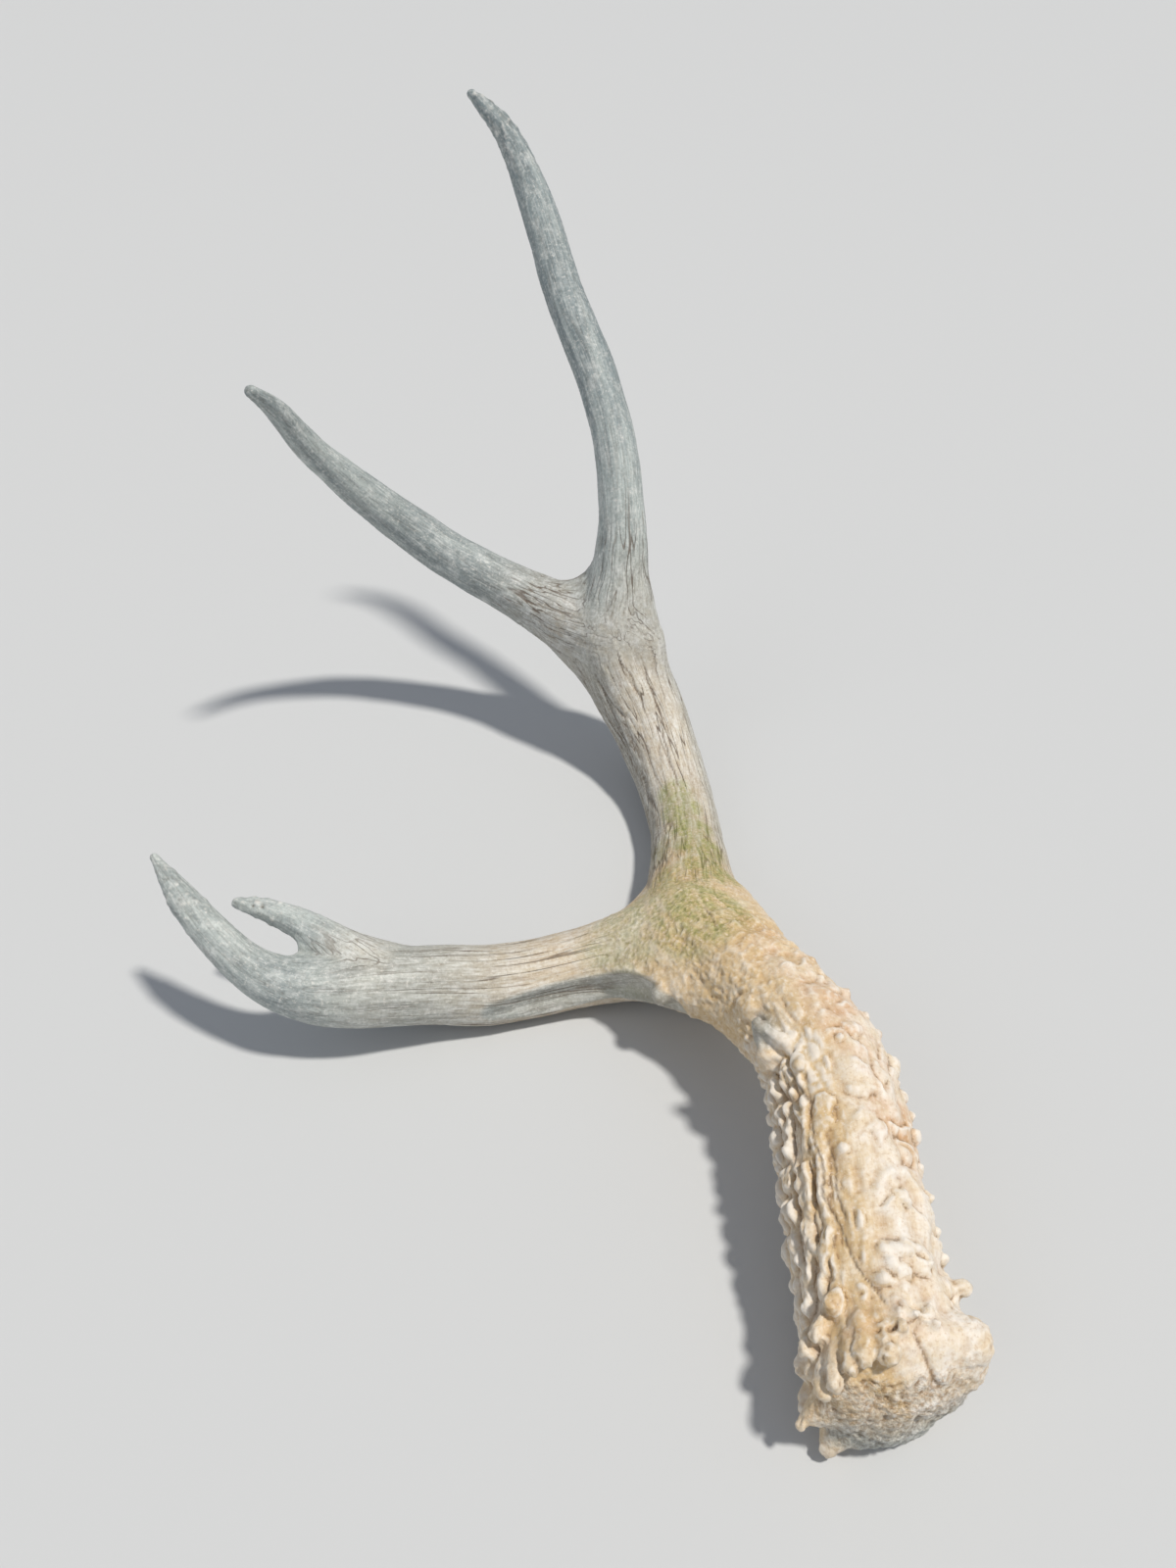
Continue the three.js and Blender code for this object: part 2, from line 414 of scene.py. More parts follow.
# %% [markdown]
# ## The skin
#
# Rough tubes and balls round the limbs and stalks are welded into one surface by a voxel remesh, which
# drops everything inside and gives even squares. The points are then moved onto the exact skin. This is
# done twice, coarse and then fine, because the coarse pass fills the crotches and the fine one then has
# even squares there too.


# %% Rough tubes and stalks
def faces_between(rings, sides):
    """Squares from ring to ring of points, and a cap at each end."""
    faces = []
    for ring in range(rings - 1):
        here = ring * sides
        beyond = here + sides
        for j in range(sides):
            k = (j + 1) % sides
            faces.append((here + j, here + k, beyond + k, beyond + j))
    faces.append(tuple(reversed(range(sides))))
    faces.append(tuple((rings - 1) * sides + j for j in range(sides)))
    return faces


def rough_tube(limb, sides=24):
    rings = list(range(0, len(limb["along"]) - 1, 4)) + [len(limb["along"]) - 1]
    turn = np.linspace(0, 2 * math.pi, sides, endpoint=False)
    points = []
    for i in rings:
        out = limb["top"][i] * np.cos(turn)[:, None] + limb["right"][i] * np.sin(turn)[:, None]
        points.append(limb["middle"][i] + out * limb["radius"][i])
    tip = limb["radius"][-1]
    points.append(limb["middle"][-1] + limb["forward"][-1] * 0.7 * tip + out * 0.7 * tip)
    points.append(limb["middle"][-1] + limb["forward"][-1] * 0.97 * tip + out * 0.25 * tip)
    return np.vstack(points), faces_between(len(points), sides)


def rough_stalk(start, r_start, end, r_end, sides=12):
    """Rings from ball to ball, with round ends, so that the skin can settle on them evenly."""
    ahead = unit(end - start)
    top = unit(np.cross(ahead, np.array([0.3, 0.5, 0.8])))
    right = np.cross(ahead, top)
    length = np.linalg.norm(end - start)
    along_stalk = [-0.95 * r_start, -0.6 * r_start, 0, 0.5 * length, length]
    along_stalk += [length + 0.6 * r_end, length + 0.95 * r_end]
    radii = [0.3 * r_start, 0.8 * r_start, r_start, (r_start + r_end) / 2, r_end, 0.8 * r_end, 0.3 * r_end]
    turn = np.linspace(0, 2 * math.pi, sides, endpoint=False)
    ring = top * np.cos(turn)[:, None] + right * np.sin(turn)[:, None]
    rings = [start + ahead * t + ring * r for t, r in zip(along_stalk, radii)]
    return np.vstack(rings), faces_between(len(rings), sides)


# %% Weld them into one skin, coarse and then fine
def weld(parts, size):
    """Joins closed parts into one even skin with a voxel remesh and gives its points and squares."""
    points, faces, offset = [], [], 0
    for part_points, part_faces in parts:
        points.append(part_points)
        faces += [tuple(offset + i for i in face) for face in part_faces]
        offset += len(part_points)
    mesh = bpy.data.meshes.new("rough")
    mesh.from_pydata((np.vstack(points) * MM).tolist(), [], faces)
    body = bpy.data.objects.new("rough", mesh)
    bpy.context.scene.collection.objects.link(body)
    remesh = body.modifiers.new("weld", "REMESH")
    remesh.mode = "VOXEL"
    remesh.voxel_size = size * MM
    remesh.adaptivity = 0
    bpy.context.view_layer.update()
    welded = bpy.data.meshes.new_from_object(body.evaluated_get(bpy.context.evaluated_depsgraph_get()))
    co = np.empty(len(welded.vertices) * 3)
    welded.vertices.foreach_get("co", co)
    corners = np.empty(len(welded.loops), int)
    welded.loops.foreach_get("vertex_index", corners)
    bpy.data.objects.remove(body)
    bpy.data.meshes.remove(mesh)
    bpy.data.meshes.remove(welded)
    return co.reshape(-1, 3) / MM, corners.reshape(-1, 4)


rough = [rough_tube(limb) for limb in LIMBS.values()] + [rough_stalk(*stalk[:4]) for stalk in STALKS]
coarse_points, coarse_squares = weld(rough, COARSE_VOXEL)
coarse_points = settle(coarse_points, 4)
print("coarse skin:", len(coarse_squares), "squares")
skin, squares = weld([(coarse_points, coarse_squares.tolist())], VOXEL)
skin = settle(skin, 3)
print("fine skin:", len(squares), "squares")
_, out, found, shares, knob = bone(skin)
out = unit(out)

# %% [markdown]
# ## Noise that follows the grain
#
# Bone grows along the antler, so its grooves and streaks run lengthwise. The pattern is drawn in grain
# coordinates: round the limb and along it, both in millimetres. Stretching the pattern along the limb
# turns round spots into streaks. Where two limbs meet, each draws its own pattern and the two are mixed
# by their shares.


# %% Gradient noise on arrays, about -1 to 1
def noise(points, size, seed=0):
    points = points / np.array(size, float) + seed * 17.3
    cell = np.floor(points).astype(np.int64)
    part = points - cell
    fade = part**3 * (part * (part * 6 - 15) + 10)
    slopes = unit(np.random.default_rng(7).normal(size=(512, 3)))
    total = np.zeros(len(points))
    for corner in np.ndindex(2, 2, 2):
        # The large numbers only scramble the cell's place, so that each cell picks one of 512 slopes
        lattice = cell + corner
        mixed = lattice[:, 0] * 73856093 ^ lattice[:, 1] * 19349663 ^ lattice[:, 2] * 83492791
        slope = slopes[(mixed ^ (mixed >> 13)) & 511]
        weight = np.prod(np.where(corner, fade, 1 - fade), axis=1)
        total += weight * ((part - corner) * slope).sum(1)
    return total * 1.6


def even_noise(size, seed):
    """Noise on the skin with no direction."""
    return noise(skin, (size, size, size), seed)


def creases(size, seed):
    """Soft swells with sharp narrow creases between them."""
    return 0.3 - np.abs(even_noise(size, seed))


def wrap(angle):
    return (angle + math.pi) % (2 * math.pi) - math.pi


def degrees_from(angle, centre):
    return np.abs(np.degrees(wrap(angle - math.radians(centre))))


def grain(name):
    along, angle, radius = found[name][2:]
    return np.stack([radius * np.cos(angle), radius * np.sin(angle), along], 1)


print("noise spread", noise(skin[:2000], (5, 5, 5)).std().round(2))

# %% [markdown]
# ## Relief of the pearled base
#
# The base of the beam carried the blood vessels of the velvet. Between their channels the bone rose in
# wavy ridges and pearls. One flank and the underside are all ridges, the middle has only fine grooves and
# long drying cracks, and the other flank has low lumps with little ledges. Ridges and pearls are heights
# added to the skin. A rounded bump needs a crisp foot to read as a pearl, so a shallow moat is cut round
# each.

# %% Zones of the base, in millimetres along the spine and degrees round it, where 0 is the top
along, angle, radius = found["spine"][2:]
spine_grain = grain("spine")
plain = 1 - knob
left_flank = until(degrees_from(angle, -150), 92, 114) * until(along, 96, 138)
middle_band = until(degrees_from(angle, -26), 12, 30)
right_flank = until(degrees_from(angle, 60), 48, 72) * until(along, 140, 180)
on_base = until(along, 128, 160)
print("ridged flank on", (left_flank > 0.5).sum(), "points")

# %% Wrinkles of the middle, lumps and terraces of the far flank
wrinkles = 0.42 * noise(spine_grain, (2.2, 2.2, 13), 4) + 0.22 * noise(spine_grain, (1.4, 1.4, 4), 5)
swells = 0.9 * noise(spine_grain, (6, 6, 10), 13)
lumps = 1.5 * noise(spine_grain, (7.5, 7.5, 9), 6) + 0.35 * noise(spine_grain, (3.4, 3.4, 5), 7)
steps = along / 10.5 + 0.8 * noise(spine_grain, (11, 11, 14), 8) + 0.25 * noise(spine_grain, (4, 4, 6), 9)
rise = steps - np.floor(steps)
ledged = smoothstep(noise(spine_grain, (8, 8, 11), 12), -0.3, 0.2)
terraces = 1.3 * rise * until(rise, 0.82, 1.0) * ledged
base_relief = on_base * (middle_band * (wrinkles + swells) + right_flank * 0.12 * wrinkles) * plain
base_relief += smoothstep(along, 8, 20) * right_flank * (lumps + terraces) * plain
before_fork = smoothstep(along, 98, 118) * until(along, 160, 190)
ripples = creases(5.5, 17) + 0.3 * creases(2.6, 21)
base_relief += before_fork * (0.6 * even_noise(10, 19) + 0.7 * ripples) * plain
base_relief -= 1.5 * left_flank * smoothstep(along, 4, 14) * plain
print("relief of the base so far", base_relief.min().round(2), "to", base_relief.max().round(2), "mm")

# %% Bumps with a moat. Where two meet, the higher one wins, which leaves a crease
base_points = np.flatnonzero((along < 172) & (shares["spine"] > 0.2))
ragged = 1 + 0.5 * noise(spine_grain, (2.6, 2.6, 3.4), 14)
bumps = np.zeros(len(skin))
moats = np.zeros(len(skin))


def raise_bump(points, reach, high, steep, moat):
    """Raises a bump whose edge is where the reach is 1."""
    bumps[points] = np.maximum(bumps[points], high * np.clip(1 - reach**2, 0, 1) ** steep)
    moats[points] = np.maximum(moats[points], moat * high * bell(reach - 1.25, 0.3))


def pearl(place, degrees, wide, long, high):
    near = base_points[np.abs(along[base_points] - place) < 1.8 * long + 1]
    across = wrap(angle[near] - math.radians(degrees)) * radius[near] / wide
    reach = np.hypot(across, (along[near] - place) / long) * ragged[near]
    raise_bump(near, reach, high, 0.9, 0.22)


# %% Pearls, listed one by one: place, degrees, half width, half length, height
PEARLS = [
    (46.5, 26, 2.4, 2.4, 1.5),
    (33, 14, 6.5, 2.2, 1.2),
    (25, -4, 3.0, 2.4, 1.5),
    (28, 28, 3.4, 2.6, 1.3),
    (27, 12, 2.8, 2.4, 1.2),
    (27, -49, 2.2, 4.6, 2.4),
    (33, -44, 2.2, 5.0, 2.2),
    (21, -38, 2.2, 3.4, 2.0),
    (24, -66, 2.2, 4.4, 2.4),
    (45, -54, 2.3, 3.2, 2.0),
    (54, -60, 2.2, 2.8, 2.0),
    (51, -50, 2.0, 2.4, 1.5),
    (62, -33, 2.6, 4.2, 1.4),
    (74, -24, 3.6, 3.6, 1.6),
    (69, -29, 3.0, 4.0, 1.3),
    (60, -16, 2.4, 2.0, 1.0),
    (90, 70, 2.6, 2.6, 1.9),
    (82, 73, 2.4, 2.4, 1.9),
    (76, 76, 2.2, 2.2, 1.7),
    (69, 72, 2.6, 2.4, 1.7),
    (60, 74, 2.4, 2.2, 1.6),
    (51, 73, 2.6, 2.6, 2.1),
    (41, 72, 2.2, 2.0, 1.5),
    (33, 72, 2.0, 2.0, 1.9),
    (104, 66, 2.4, 2.2, 1.5),
    (121, -56, 4.5, 4.5, 1.8),
    (112, 40, 3.6, 2.4, 1.2),
    (97, 22, 3.4, 2.6, 1.1),
    (84, 34, 2.8, 3.0, 1.2),
    (66, 18, 3.0, 3.4, 1.1),
    (60, 44, 3.0, 3.0, 1.2),
    (78, 8, 5.0, 2.0, 0.8),
    (134, 42, 3.4, 2.2, 1.2),
    (141, 38, 3.6, 2.2, 1.0),
    (148, 36, 3.4, 2.2, 0.8),
]

# %% Wavy ridges run along the left flank and the underside, with small pearls on top
random = np.random.default_rng(11)
COLUMN_TURN = 11  # degrees from one ridge to the next
RUN = along[base_points]
for column in np.arange(-38, -236, -COLUMN_TURN):
    sway = random.uniform(0, 6)
    column_start = 30 if column > -55 else 8
    share_of_height = 0.7 if column > -45 else 1
    place = column_start + random.uniform(0, 6)
    while place < 118:
        fading = 1 - 0.8 * min(1, max(0, (place - 84) / 40))
        centre = column + 4 * math.sin(place / 7.5 + sway) + 2.5 * math.sin(place / 3.1 + 2 * sway)
        size = random.uniform(1.2, 2.2)
        long = size * random.uniform(1, 2.2)
        high = fading * share_of_height * size * random.uniform(1.1, 1.7)
        PEARLS.append((place, centre, size, long, high))
        place += random.uniform(5, 15)
    centre = column + 4 * np.sin(RUN / 7.5 + sway) + 2.5 * np.sin(RUN / 3.1 + 2 * sway)
    beat = noise(np.stack([RUN, 0 * RUN + column, 0 * RUN], 1), (4.5, 50, 50), 22)
    across = np.abs(wrap(angle[base_points] - np.radians(centre))) * radius[base_points]
    reach = across * ragged[base_points] / (1.7 + 0.5 * beat)
    high = share_of_height * np.clip(1.7 + 2.3 * beat, 0.3, 3.4)
    high = high * smoothstep(RUN, column_start - 2, column_start + 8)
    high = high * (1 - 0.9 * smoothstep(RUN, 84, 116 + 0.25 * abs(column + 38)))
    raise_bump(base_points, reach, high, 0.8, 0.28)
print("ridges up to", bumps.max().round(2), "mm high")

# %% A few small pearls elsewhere
for _ in range(16):
    place = 14 + 120 * random.random()
    size = random.uniform(1.0, 2.4)
    degrees = random.uniform(5, 120)
    PEARLS.append((place, degrees, size, size * random.uniform(1, 1.8), random.uniform(0.5, 1.2)))
for _ in range(22):
    size = random.uniform(0.9, 1.9)
    place = random.uniform(12, 120)
    PEARLS.append((place, random.uniform(-50, -8), size, size * 2.2, random.uniform(0.4, 1.0)))
for spec in PEARLS:
    pearl(*spec)
base_relief += (bumps - moats) * plain * smoothstep(along, 1, 7)
print(len(PEARLS), "pearls, bumps up to", bumps.max().round(2), "mm high")

# %% A curved ridge round the ring-shaped pearl, and small holes between the knobs of the burr
ring_across = wrap(angle - math.radians(24)) * radius
ring_along = along - 46.5
ring_reach = np.hypot(ring_across, ring_along)
ridge = bell(ring_reach - 7.2 - 0.12 * ring_across, 1.5) * smoothstep(ring_along, -1, 5)
base_relief += 1.1 * ridge * plain
HOLES = [
    (3.5, 10, 2.4, 2.6),
    (9, -14, 0.9, 1.6),
    (3.5, -16, 0.9, 1.6),
    (2.5, -8, 1.0, 1.6),
    (22, -20, 0.9, 1.2),
    (83, -61, 2.6, 2.6),
    (79, -52, 1.6, 1.6),
]
for place, degrees, size, depth in HOLES:
    across = wrap(angle - math.radians(degrees)) * radius
    base_relief -= depth * bell(np.hypot(across, along - place) * ragged, size)
print(len(HOLES), "holes")

# %% Folds that fan out from the burr, its flat lower edge and its waist on the left
fan = smoothstep(along, -3, 3) * until(along, 16, 30) * until(degrees_from(angle, 45), 30, 60)
base_relief += fan * plain * 0.8 * noise(spine_grain, (4.5, 4.5, 16), 15)
flat_edge = bell(degrees_from(angle, 128), 32) * until(along, 8, 24)
waist = bell(degrees_from(angle, -96), 36) * smoothstep(along, -6, 0) * until(along, 12, 26)
base_relief -= (2.0 * flat_edge + 3.4 * waist) * plain
print("relief of the base", base_relief.min().round(2), "to", base_relief.max().round(2), "mm")

# %% [markdown]
# ## The seal
#
# The seal is the rough dome where the antler broke away from the skull. Its middle is granular like a
# rusk, and a smoother bevel with one crease runs round its upper rim.

# %% Grain of the seal
end = LIMBS["spine"]
from_end = skin - end["middle"][0]
on_seal = smoothstep(-(from_end @ end["forward"][0]), -4, 1) * (along < 3) * plain
up_seal = from_end @ end["top"][0]
side_seal = from_end @ end["right"][0]
edge_seal = up_seal - 0.12 * side_seal + 3.5 * even_noise(8, 16)
granular = on_seal * until(edge_seal, 11, 16)
crumbs = 0.52 * even_noise(1.5, 10) + 0.5 * even_noise(2.6, 11)
crease = -0.9 * bell(side_seal - 4 + 0.35 * (up_seal - 18), 0.9) * smoothstep(up_seal, 4, 12)
seal_relief = granular * crumbs + on_seal * (1.1 * even_noise(10, 18) + crease)
print("granular share of the skin", round(float(granular.mean()), 3))

# %% [markdown]
# ## Relief of the beams and tines
#
# Past the main fork the bone is smoother. It keeps long shallow grooves where vessels lay, thin drying
# cracks, and a net of tiny tubercles round the main fork. The tines were polished by rubbing and have
# only faint streaks and, near the tips, small bumps.


# %% Long grooves on each limb
def streaks(name, depth, crack_depth, seed):
    lines = grain(name)
    broad = noise(lines, (4.5, 4.5, 38), seed)
    fine = noise(lines, (1.9, 1.9, 15), seed + 1)
    crack = np.clip(1 - np.abs(noise(lines, (4.2, 4.2, 60), seed + 2)) * 10, 0, 1)
    return depth * (0.6 * broad + 0.4 * fine) - crack_depth * crack


front_along = found["front"][2]
low_along = found["low_tine"][2]
short_along, short_angle = found["short_tine"][2:4]
beyond_base = smoothstep(along, 130, 172)
on_tall_tine = smoothstep(along, 375, 430)
rough_side = 1 - 0.65 * smoothstep(degrees_from(angle, -30), 50, 90)
spine_relief = beyond_base * (1 - on_tall_tine) * rough_side * streaks("spine", 0.6, 0.4, 20)
spine_relief += on_tall_tine * streaks("spine", 0.28, 0.12, 20)
front_relief = (0.5 - 0.25 * smoothstep(front_along, 60, 130)) * streaks("front", 0.9, 0.4, 30)
low_relief = (0.7 - 0.35 * smoothstep(low_along, 20, 90)) * streaks("low_tine", 0.7, 0.4, 40)
short_relief = 0.3 * streaks("short_tine", 1.0, 0.4, 50)
print("grooves of the spine up to", np.abs(spine_relief).max().round(2), "mm deep")

# %% Net of tubercles round the main fork
fork_near = until(np.linalg.norm(skin - np.array([66, -62, 45]), axis=1), 28, 62)
net = 0.5 - np.abs(even_noise(2.0, 60)) - 0.7 * np.abs(even_noise(3.6, 61))
net_relief = 0.62 * net * fork_near
print("net on", (fork_near > 0.5).sum(), "points")

# %% The trough under the root of the front limb is smooth, and a knobby lip hangs over it
from_trough = place_on(skin, TROUGH)[0]
in_shaded_trough = smoothstep(-from_trough, -2.2, -0.4)
lip = bell(from_trough - 3, 2.2) * smoothstep(even_noise(4.5, 71), -0.4, 0.5)
lip = lip * smoothstep(skin[:, 2], 24, 30) * smoothstep(skin[:, 0], 8, 30)
front_relief += 1.1 * lip
spine_relief += 0.8 * lip
print("lip up to", lip.max().round(2), "of its full height")

# %% Bumps near the tips, the pits of the short tine and the chipped tip of the low tine
tip_bumps = np.clip(even_noise(3.0, 70), 0, 1)
spine_relief += 0.9 * tip_bumps * smoothstep(along, 560, 600)
front_relief += 0.7 * tip_bumps * smoothstep(front_along, 165, 200)
short_relief += 0.7 * tip_bumps * smoothstep(short_along, 22, 40)
PIT_SIZE = 0.837
CHIP_SIZE = 1.549
for place, degrees in ((49.5, -38), (46, -25)):
    across = wrap(short_angle - math.radians(degrees)) * 3.2
    short_relief -= 0.9 * bell(np.hypot(across, short_along - place), PIT_SIZE)
chip = skin - LIMBS["low_tine"]["middle"][-1] - 2.2 * LIMBS["low_tine"]["forward"][-1]
low_relief -= 1.6 * bell(np.linalg.norm(chip, axis=1), CHIP_SIZE)
print("tip bumps up to", tip_bumps.max().round(2))

# %% Add everything up and lift the skin
relief = shares["spine"] * (base_relief + seal_relief + spine_relief) + shares["front"] * front_relief
relief += shares["low_tine"] * low_relief + shares["short_tine"] * short_relief + net_relief
relief += (0.10 + 0.10 * on_base) * even_noise(1.6, 80) + 0.45 * even_noise(16, 81)
relief = relief * (1 - 0.75 * in_shaded_trough) + 0.25 * in_shaded_trough * streaks("front", 1.0, 0.3, 30)
creased = (1.1 * creases(3.2, 84) + 0.5 * creases(1.7, 85)) * (1 - 0.75 * smoothstep(along, 50, 80))
relief += knob * (0.3 * even_noise(2.6, 82) + 0.4 * even_noise(5, 83) + creased)
skin_lifted = skin + out * relief[:, None]
print("relief from", relief.min().round(2), "to", relief.max().round(2), "mm")

# %% Spots that would touch the ground are worn flat
WORN = 0.6  # height below which the bone is worn, mm
gap = skin_lifted[:, 2]
skin_lifted[:, 2] = np.where(gap < WORN, WORN - WORN * np.tanh((WORN - gap) / WORN), gap)
print("lowest point", skin_lifted[:, 2].min().round(3), "mm")

# %% [markdown]
# ## Where dirt and painted shade go
#
# Soil stays in what lies lower than its surroundings, and wear brightens what stands higher. The same masks
# also carry painted shade into the low spots and painted highlight onto the high ones. Averaging the height
# over the neighbours again and again gives the height of the surroundings, and the difference says how deep
# or proud each point is. Doing it on the mesh keeps it true on every side of the antler.

# %% Depth below the surroundings, at two scales
edges = np.unique(np.sort(np.vstack([squares[:, [i, (i + 1) % 4]] for i in range(4)]), axis=1), axis=0)
links = np.bincount(edges.ravel(), minlength=len(skin))


def spread(values, turns):
    for _ in range(turns):
        total = np.bincount(edges[:, 0], values[edges[:, 1]], len(skin))
        total += np.bincount(edges[:, 1], values[edges[:, 0]], len(skin))
        values = 0.5 * values + 0.5 * total / links
    return values


near_mean = spread(relief, 10)
# How far each point lies below its neighbours: it drives soil and painted shade in the low spots, and chalk
# and painted highlight on the high ones
pits_and_shade = np.clip((near_mean - relief) / (0.35 + 0.25 * left_flank), -1, 1)
hollows_and_shade = np.clip((spread(near_mean, 50) - near_mean) / 0.8, -1, 1)
print("pits spread", pits_and_shade.std().round(2), "hollows spread", hollows_and_shade.std().round(2))

# %% [markdown]
# ## Masks for the finish
#
# The finish changes along the antler: warm and creamy at the base, cooler and greyer towards the tips,
# green with algae at the main fork. The places below are millimetres along a limb, degrees round it, or
# points on the skin. Each mask is stored on the mesh as an attribute that the material reads. The grain
# coordinates go along too, so that fine streaks in the material follow the limbs.

# %% Warmth: cream at the base, grey towards the tips
height = skin[:, 2] + 6 * even_noise(20, 90)
high_up = smoothstep(height, 30, 135) * smoothstep(skin[:, 1], 30, 70)
warm_spine = 1 - 0.45 * smoothstep(along, 170, 250) - 0.55 * high_up
warm_front = 0.7 - 0.5 * smoothstep(front_along, 40, 115) - 0.15 * smoothstep(front_along, 120, 150)
warm_low = 0.35 - 0.3 * smoothstep(low_along, 10, 80)
warm_short = 0.35 - 0.3 * smoothstep(short_along, 5, 30)
warm = shares["spine"] * warm_spine + shares["front"] * warm_front
warm += shares["low_tine"] * warm_low + shares["short_tine"] * warm_short
print("warmth from", warm.min().round(2), "to", warm.max().round(2))

# %% Tan stain, and ochre on the right of the base and beside the burr
right_of = smoothstep(np.degrees(angle), -32, 22) * until(np.degrees(angle), 100, 140)
tan = shares["spine"] * (0.85 - 0.6 * right_of * until(along, 95, 150))
# Less tan on the left flank: painted light, because that flank is turned away from the lamp
tan = tan * (1 - 0.4 * left_flank) * (1 - 0.6 * smoothstep(along, 190, 300))
tan += 0.12 * middle_band * until(along, 90, 120) * (along > 4)
tan += 0.45 * shares["front"]
beside_burr = until(np.abs(along - 12), 6, 16) * until(degrees_from(angle, -5), 25, 50)
ochre = right_of * smoothstep(along, 45, 70) * until(along, 120, 165)
ochre = np.maximum(ochre, 0.6 * beside_burr)
print("ochre on", (ochre > 0.5).sum(), "points")


# %% Cooler spots: the stub and the sides of the rear beam, and painted shade in the trough and on the lower seal
def patch(x, y, z, reach):
    """A soft round spot on the skin."""
    return until(np.linalg.norm(skin - np.array([x, y, z]), axis=1), 0.45 * reach, reach)


grey_stub = patch(74, -113, 56, 12)
bleached = np.maximum.reduce([
    patch(82, -118, 56, 7),
    0.9 * patch(89, -124, 57, 9),
    0.7 * patch(90, -133, 56, 9),
])
side_of_beam = np.degrees(angle) - 8
on_rear_beam = smoothstep(along, 190, 240)
cool_sides = 0.45 * smoothstep(np.abs(side_of_beam), 22, 62) * on_rear_beam
shaded_low_seal = on_seal * until(up_seal, -16, 6)
# Cooler bone in the trough and on the lower seal is painted shade
warm = warm * (1 - 0.7 * grey_stub) * (1 - 0.3 * bleached) * (1 - 0.65 * in_shaded_trough)
warm = warm * (1 - shares["spine"] * cool_sides) * (1 - 0.75 * shaded_low_seal) * (1 - 0.2 * granular)
print("mean warmth", warm.mean().round(2))

# %% Slate: how dark and blue the cool bone is, partly painted light and shade
# Darker high up the tall tine and on the low tine, lighter at the other tips and low on the tall tine:
# painted falloff of the light. Bluer in the trough and paler on the lower seal: painted shade.
bright_tips = shares["low_tine"] * smoothstep(low_along, 100, 140) + 0.8 * shares["short_tine"]
bright_tips += shares["front"] * smoothstep(front_along, 165, 180)
slate_and_shade = 0.19 * shares["low_tine"] - 0.12 * bright_tips
slate_and_shade += 0.04 * shares["front"] * smoothstep(front_along, 130, 160)
slate_and_shade += 0.17 * shares["spine"] * smoothstep(along, 430, 500)
slate_and_shade += 0.42 * grey_stub + 0.12 * in_shaded_trough
slate_and_shade -= 0.12 * shares["spine"] * smoothstep(along, 350, 380) * until(along, 420, 470)
slate_and_shade -= 0.1 * shares["spine"] * shaded_low_seal
print("slate from", slate_and_shade.min().round(2), "to", slate_and_shade.max().round(2))

# %% Streaks along the grain, and painted shade on the left side of the rear beam
at_rear_fork = smoothstep(along, 345, 362) * until(along, 372, 390)
streaky = 0.2 + 0.2 * left_flank * smoothstep(along, 20, 40) + 0.7 * smoothstep(along, 165, 215)
streaky -= 0.3 * smoothstep(along, 400, 460)
streaky = shares["spine"] * streaky * (1 - on_seal) * (1 - 0.7 * at_rear_fork)
streaky_front = 0.85 * smoothstep(front_along, 10, 50) - 0.25 * smoothstep(front_along, 110, 150)
streaky_low = 0.9 - 0.25 * smoothstep(low_along, 40, 90)
streaky += shares["front"] * streaky_front + shares["low_tine"] * streaky_low + 0.6 * shares["short_tine"]
left_side_shade = smoothstep(-side_of_beam, 15, 60) * on_rear_beam * until(along, 330, 380)
# Dirt on the stub and the seal, painted shade on the left side of the rear beam, less on the bleached spots
dirt_and_shade = 0.4 * grey_stub + 0.22 * on_seal + 0.7 * left_side_shade - 0.9 * bleached
pits_and_shade = np.clip(pits_and_shade + dirt_and_shade, -1, 1) * (1 - 0.3 * fork_near)
print("streaks up to", streaky.max().round(2))

# %% Algae in patches on the main fork, and on along the rear beam: x, y, z, reach, strength
ALGAE = [
    (63, -58, 50, 25, 0.85),
    (65, -48, 49, 14, 0.85),
    (69, -24, 38, 17, 0.9),
    (68, -4, 34, 14, 1),
    (65, 12, 31, 12, 1),
    (62, 26, 31, 12, 0.9),
    (60, 37, 31, 11, 0.7),
    (53, -24, 36, 9, 0.6),
    (52, -42, 38, 26, 0.6),
    (40, -56, 34, 26, 0.45),
    (60, 0, 32, 18, 0.3),
]
algae = np.maximum.reduce([strength * patch(*spot) for *spot, strength in ALGAE])
algae = algae * smoothstep(out[:, 2], -0.1, 0.5)  # it grows on the upper side
algae = algae * (0.4 + 0.6 * smoothstep(noise(spine_grain, (3, 3, 12), 91), -0.45, 0.15))
print("algae on", (algae > 0.3).sum(), "points")


# %% Long drying cracks: places along the spine, degrees round it
def crack_line(places, degrees, width=0.55):
    """Closeness to a line drawn along the spine, from 0 to 1."""
    centre = np.interp(along, places, np.radians(degrees))
    wiggle = 0.006 * np.sin(along * 2.1) + 0.02 * np.sin(along * 0.37)
    across = np.abs(wrap(angle - centre - wiggle)) * radius
    first, last = places[0], places[-1]
    ends = smoothstep(along, first - 1, first + 3) * until(along, last - 3, last + 1)
    return np.clip(1 - across / width, 0, 1) * ends


cracks = shares["spine"] * np.maximum.reduce([
    crack_line([17, 26, 35, 42, 48, 59, 70], [-5, -15, -25, -30, -34, -33, -36]),
    crack_line([40, 52, 66], [-22, -25, -24]),
    crack_line([74, 81, 89], [-31, -40, -49], 0.8),
    crack_line([150, 156, 164], [-12, -5, 3]),
    crack_line([268, 290, 312], [2, 0, 6]),
    crack_line([300, 322, 345], [14, 10, 16]),
    crack_line([318, 340, 362], [-10, -6, -14]),
])
skin_lifted = skin_lifted - out * (0.5 * cracks)[:, None]
print("cracks on", (cracks > 0.3).sum(), "points")

# %% [markdown]
# ## Seven pieces
#
# The skin is cut at the forks into the pieces that the frame names. A fork's three pieces meet on the
# planes that halve the angles between its branches. The pieces share the smooth normals of the whole
# skin, so no seam shows where they meet.

